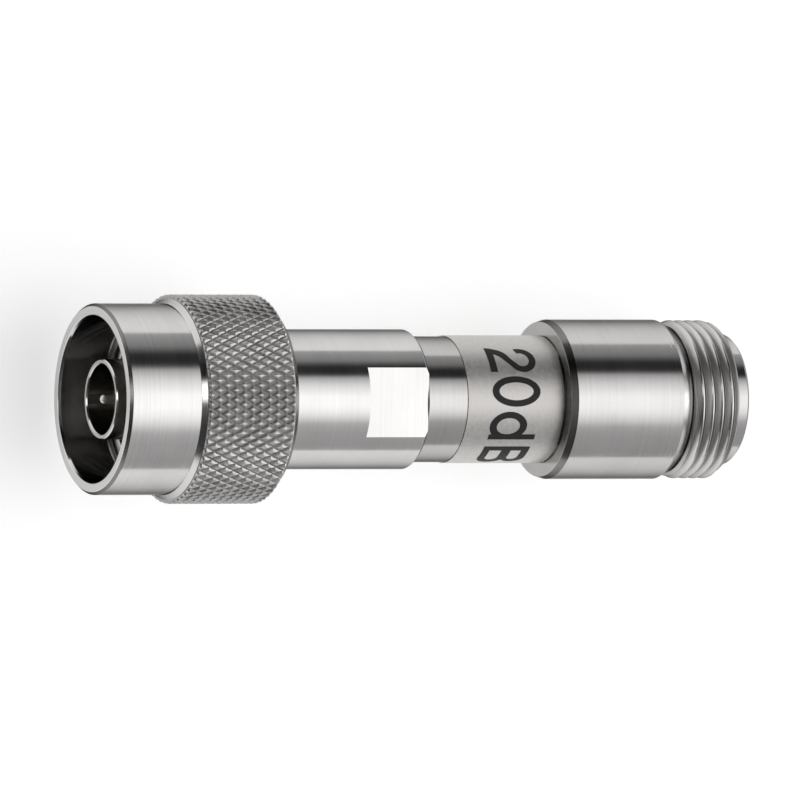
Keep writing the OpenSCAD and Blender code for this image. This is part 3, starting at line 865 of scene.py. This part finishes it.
# Thread nickel with painted shade in the grooves and a painted highlight on the crests.
jack_thread_shaded_nickel = shaded_thread_metal("jack_thread_shaded_nickel", JACK_THREAD_R - THREAD_DEPTH, JACK_THREAD_R,
                                  (0.57, 0.56, 0.55), (0.64, 0.63, 0.62))
nut_thread_shaded_nickel = shaded_thread_metal("nut_thread_shaded_nickel", NUT_THREAD_R + THREAD_DEPTH, NUT_THREAD_R,
                                 (0.20, 0.195, 0.19), (0.62, 0.61, 0.60))
# Painted shade: dark, rough nickel for the groove before the jack's thread, the shoulder chamfer and the
# nut's front bevel.
painted_shade_nickel = turned_metal("painted_shade_nickel", (0.20, 0.195, 0.19), (0.27, 0.265, 0.26), 0.26)
knurl_nickel = cut_metal("knurl_nickel", (0.49, 0.48, 0.47), (0.65, 0.64, 0.63), 0.36)
contact_nickel = turned_metal("contact_nickel", (0.62, 0.60, 0.57), (0.74, 0.72, 0.69), 0.15)
pin_nickel = plain("pin_nickel", (0.74, 0.72, 0.69), (0.84, 0.82, 0.79), 0.40, 4000, 1.0, bump=0.03)
gold = plain("gold_plate", (0.72, 0.49, 0.16), (0.84, 0.60, 0.23), 0.24, 3000, metallic=1.0, bump=0.04)
spring_steel = plain("spring_steel", (0.30, 0.30, 0.30), (0.42, 0.42, 0.42), 0.35, 4000, metallic=1.0)
holder_brass = plain("holder_brass", (0.55, 0.43, 0.22), (0.66, 0.53, 0.29), 0.32, 2500, metallic=1.0)
silicone = plain("silicone", (0.085, 0.026, 0.020), (0.125, 0.040, 0.030), 0.62, 2600)
ptfe = plain("ptfe", (0.80, 0.79, 0.76), (0.87, 0.865, 0.84), 0.48, 1800)
ceramic = plain("ceramic", (0.80, 0.78, 0.73), (0.88, 0.86, 0.82), 0.42, 3200)
film = plain("resistor_film", (0.020, 0.018, 0.018), (0.040, 0.036, 0.034), 0.5, 5000)
silver_pad = plain("silver_pad", (0.60, 0.60, 0.59), (0.72, 0.72, 0.71), 0.38, 5000, metallic=1.0)
foil = plain("label_foil", (0.60, 0.58, 0.56), (0.69, 0.67, 0.65), 0.42, 2400, metallic=0.8, bump=0.05)
ink = plain("print_ink", (0.006, 0.006, 0.006), (0.016, 0.015, 0.014), 0.6, 5200)


def finish_piece(obj, material, body, node=None):
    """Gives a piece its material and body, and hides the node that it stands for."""
    obj.data.materials.clear()
    obj.data.materials.append(material)
    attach(obj, body)
    if node:
        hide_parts(node)
    return obj


# Pieces

def paint(obj, choose, *materials):
    """Adds materials to a piece. choose(x, radius) gives the number of a face's material."""
    for material in materials:
        obj.data.materials.append(material)
    for face in obj.data.polygons:
        x, y, z = face.center / MM
        face.material_index = choose(x, math.hypot(y, z))


def nut_face(x, radius):
    """Sleeve 0, knurl with its flat ends 1, inner thread 2, front rim 3 with a painted highlight and the
    rim's bevel 4 with painted shade.
    """
    ahead, behind = x - nut_low.x, nut_high.x - x
    on_grip = ahead > SLEEVE_LENGTH + GRIP_BEVEL - RING_MARGIN and behind > BACK_BEVEL - RING_MARGIN
    if on_grip and radius > GRIP_R - KNURL_DEPTH - FACE_MARGIN:
        return 1
    if radius < UNDERCUT_R and ahead > MOUTH_DEPTH and x < gasket_low.x:
        return 2
    if ahead < FACE_MARGIN:
        return 3
    return 4 if ahead < EDGE and radius > SLEEVE_R - EDGE else 0


def female_face(x, radius):
    """Barrel 0, thread 1, groove and shoulder chamfer 2, which carry painted shade."""
    thread_end = female_high.x - PILOT_LENGTH
    thread_start = thread_end - JACK_THREAD_LENGTH
    shoulder_end = female_low.x + SHOULDER_CHAMFER[0] - FACE_MARGIN
    if radius <= NECK_R or x > thread_end - RING_MARGIN:
        return 0
    if x > thread_start + RING_MARGIN:
        return 1
    in_groove = x > thread_start - GROOVE_W - RING_MARGIN
    on_chamfer = female_low.x + RING_MARGIN < x < shoulder_end
    return 2 if in_groove or on_chamfer else 0


nut = finish_piece(coupling_nut(), nut_nickel, "nut", "coupling_nut")
paint(nut, nut_face, knurl_nickel, nut_thread_shaded_nickel, rim_highlight_nickel, painted_shade_nickel)
finish_piece(male_body(), nickel, "barrel", "male_body")
female = finish_piece(female_body(), jack_nickel, "barrel", "female_body")
paint(female, female_face, jack_thread_shaded_nickel, painted_shade_nickel)
finish_piece(neck_tube(), neck_nickel, "barrel", "housing_tube")
finish_piece(label_band(), foil, "barrel", "rating_label")
finish_piece(contact_tube(), contact_nickel, "barrel", "male_outer_contact")
finish_piece(pin_nose(), pin_nickel, "barrel")
finish_piece(gasket_ring(), silicone, "barrel", "sealing_gasket")
finish_piece(jack_sleeve(), contact_nickel, "barrel", "female_outer_sleeve")

for name, loops, turn_from in (
    ("print_two", sign_two(), -55.7),
    ("print_zero", sign_zero(), -24.0),
    ("print_d", sign_d(), 8.4),
    ("print_b", sign_b(), 44.6),
):
    finish_piece(printed(name, loops, turn_from), ink, "barrel")

for node, material in {
    "nut_retaining_ring": spring_steel,
    "male_pin": pin_nickel,
    "male_insulator": ptfe,
    "card_holder_upper": holder_brass,
    "card_holder_lower": holder_brass,
    "resistor_card": ceramic,
    "resistor_film": film,
    "conductor_pads": silver_pad,
    "input_contact_tab": gold,
    "output_contact_tab": gold,
    "female_socket": gold,
    "female_insulator": ptfe,
}.items():
    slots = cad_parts[node].data.materials
    slots.clear()
    slots.append(material)


# Floor, light and camera

def studio_floor():
    """Pale floor under the lowest point. It shows itself a little brighter than its own light gives."""
    size = 3.0
    own_light = 0.61
    mesh = bpy.data.meshes.new("floor")
    corners = [(x * size, y * size, cad_low.z) for x, y in ((-1, -1), (1, -1), (1, 1), (-1, 1))]
    mesh.from_pydata(corners, [], [(0, 1, 2, 3)])
    floor = bpy.data.objects.new("floor", mesh)
    bpy.context.scene.collection.objects.link(floor)
    n = Nodes("floor_paper")
    tone = n.noise(EVEN, 30, 2.0)
    n.link(n.blend(tone, (0.86, 0.86, 0.86), (0.88, 0.88, 0.88)), n.shader.inputs["Base Color"])
    n.shader.inputs["Roughness"].default_value = 0.9
    n.shader.inputs["Specular IOR Level"].default_value = 0.0
    path = n.add("ShaderNodeLightPath")
    seen = path.outputs["Is Camera Ray"]
    for ray in ("Is Glossy Ray", "Is Transmission Ray"):
        seen = n.sum(seen, path.outputs[ray])
    lift = n.add("ShaderNodeMath", {0: seen, 1: own_light}, operation="MULTIPLY")
    n.shader.inputs["Emission Color"].default_value = (1, 1, 1, 1)
    n.link(lift.outputs[0], n.shader.inputs["Emission Strength"])
    mesh.materials.append(n.material)


# Brightness of the studio by the angle around the object's axis, in degrees from straight up
STUDIO = [
    (-104, 0.80), (-98, 0.62), (-90, 0.48), (-78, 0.44), (-54, 0.48), (-42, 0.56),
    (-37, 0.64), (-28, 1.02), (-18, 1.35), (-8, 1.52), (7, 1.52), (17, 1.26), (27, 1.00),
    (33, 0.76), (38, 0.56), (43, 0.10), (47, 0.03), (58, 0.03), (63, 0.10), (70, 0.28), (82, 0.39),
    (89, 0.46), (96, 0.60), (104, 0.90),
]
# Share of that light on the plug's side, and where along X it comes up to the full
PLUG_SIDE_LIGHT = 0.10
SIDE_EDGES = (-0.15, 0.25)
# Soft lamps at the two ends: direction, inner and outer edge in degrees, and strength
END_LAMPS = [
    ((-0.914, 0.124, 0.386), 5, 10, 2.4),
    ((0.976, 0.0, 0.218), 9, 20, 1.1),
]


def studio_world():
    """Soft overhead light with a dark gap beside it and grey walls, in strips along the axis."""
    world = bpy.data.worlds.new("studio")
    bpy.context.scene.world = world
    world.use_nodes = True
    tree = world.node_tree
    link = tree.links.new

    def math_node(operation, first, second):
        node = tree.nodes.new("ShaderNodeMath")
        node.operation = operation
        link(first, node.inputs[0])
        link(second, node.inputs[1])
        return node.outputs[0]

    def spread(value, low, high, new_low, new_high):
        node = tree.nodes.new("ShaderNodeMapRange")
        link(value, node.inputs["Value"])
        settings = {"From Min": low, "From Max": high, "To Min": new_low, "To Max": new_high}
        for key, setting in settings.items():
            node.inputs[key].default_value = setting
        node.interpolation_type = "SMOOTHSTEP"
        return node.outputs[0]

    coord = tree.nodes.new("ShaderNodeTexCoord")
    parts = tree.nodes.new("ShaderNodeSeparateXYZ")
    link(coord.outputs["Generated"], parts.inputs[0])

    share = tree.nodes.new("ShaderNodeMapRange")
    share.inputs["From Min"].default_value = -math.pi
    share.inputs["From Max"].default_value = math.pi
    link(math_node("ARCTAN2", parts.outputs["Y"], parts.outputs["Z"]), share.inputs["Value"])
    brightest = max(level for _, level in STUDIO)
    ramp = tree.nodes.new("ShaderNodeValToRGB")
    stops = ramp.color_ramp.elements
    while len(stops) < len(STUDIO):
        stops.new(0.5)
    for stop, (degrees, level) in zip(stops, STUDIO):
        stop.position = (degrees + 180) / 360
        stop.color = (level / brightest, level / brightest, level / brightest, 1)
    link(share.outputs[0], ramp.inputs["Fac"])

    side = spread(parts.outputs["X"], *SIDE_EDGES, PLUG_SIDE_LIGHT * brightest, brightest)
    light = math_node("MULTIPLY", ramp.outputs["Color"], side)
    for direction, inner, outer, strength in END_LAMPS:
        toward = tree.nodes.new("ShaderNodeVectorMath")
        toward.operation = "DOT_PRODUCT"
        link(coord.outputs["Generated"], toward.inputs[0])
        toward.inputs[1].default_value = direction
        edges = math.cos(math.radians(outer)), math.cos(math.radians(inner))
        light = math_node("ADD", light, spread(toward.outputs["Value"], *edges, 0, strength))
    background = tree.nodes["Background"]
    background.inputs["Color"].default_value = (1, 1, 1, 1)
    link(light, background.inputs["Strength"])


def photo_camera():
    """Long lens that looks down on the part, turned a little towards the plug's end."""
    turn, roll = math.radians(24.6), math.radians(-3.0)
    image_width = 80.0
    distance = 3000.0
    target = Vector((32.79, -0.08, 0.0))
    about_axis = Matrix.Rotation(roll, 3, "X")
    right = about_axis @ Vector((math.cos(turn), 0, math.sin(turn)))
    up = about_axis @ Vector((0, 1, 0))
    back = right.cross(up)
    data = bpy.data.cameras.new("camera")
    data.sensor_width = 36.0
    data.lens = data.sensor_width * distance / image_width
    data.clip_end = 100
    camera = bpy.data.objects.new("camera", data)
    place = Matrix((right, up, back)).transposed().to_4x4()
    place.translation = (target + back * distance) * MM
    camera.matrix_world = place
    bpy.context.scene.collection.objects.link(camera)
    bpy.context.scene.camera = camera


studio_floor()
studio_world()
photo_camera()
bpy.context.scene.view_settings.view_transform = "Standard"

bpy.context.view_layer.update()
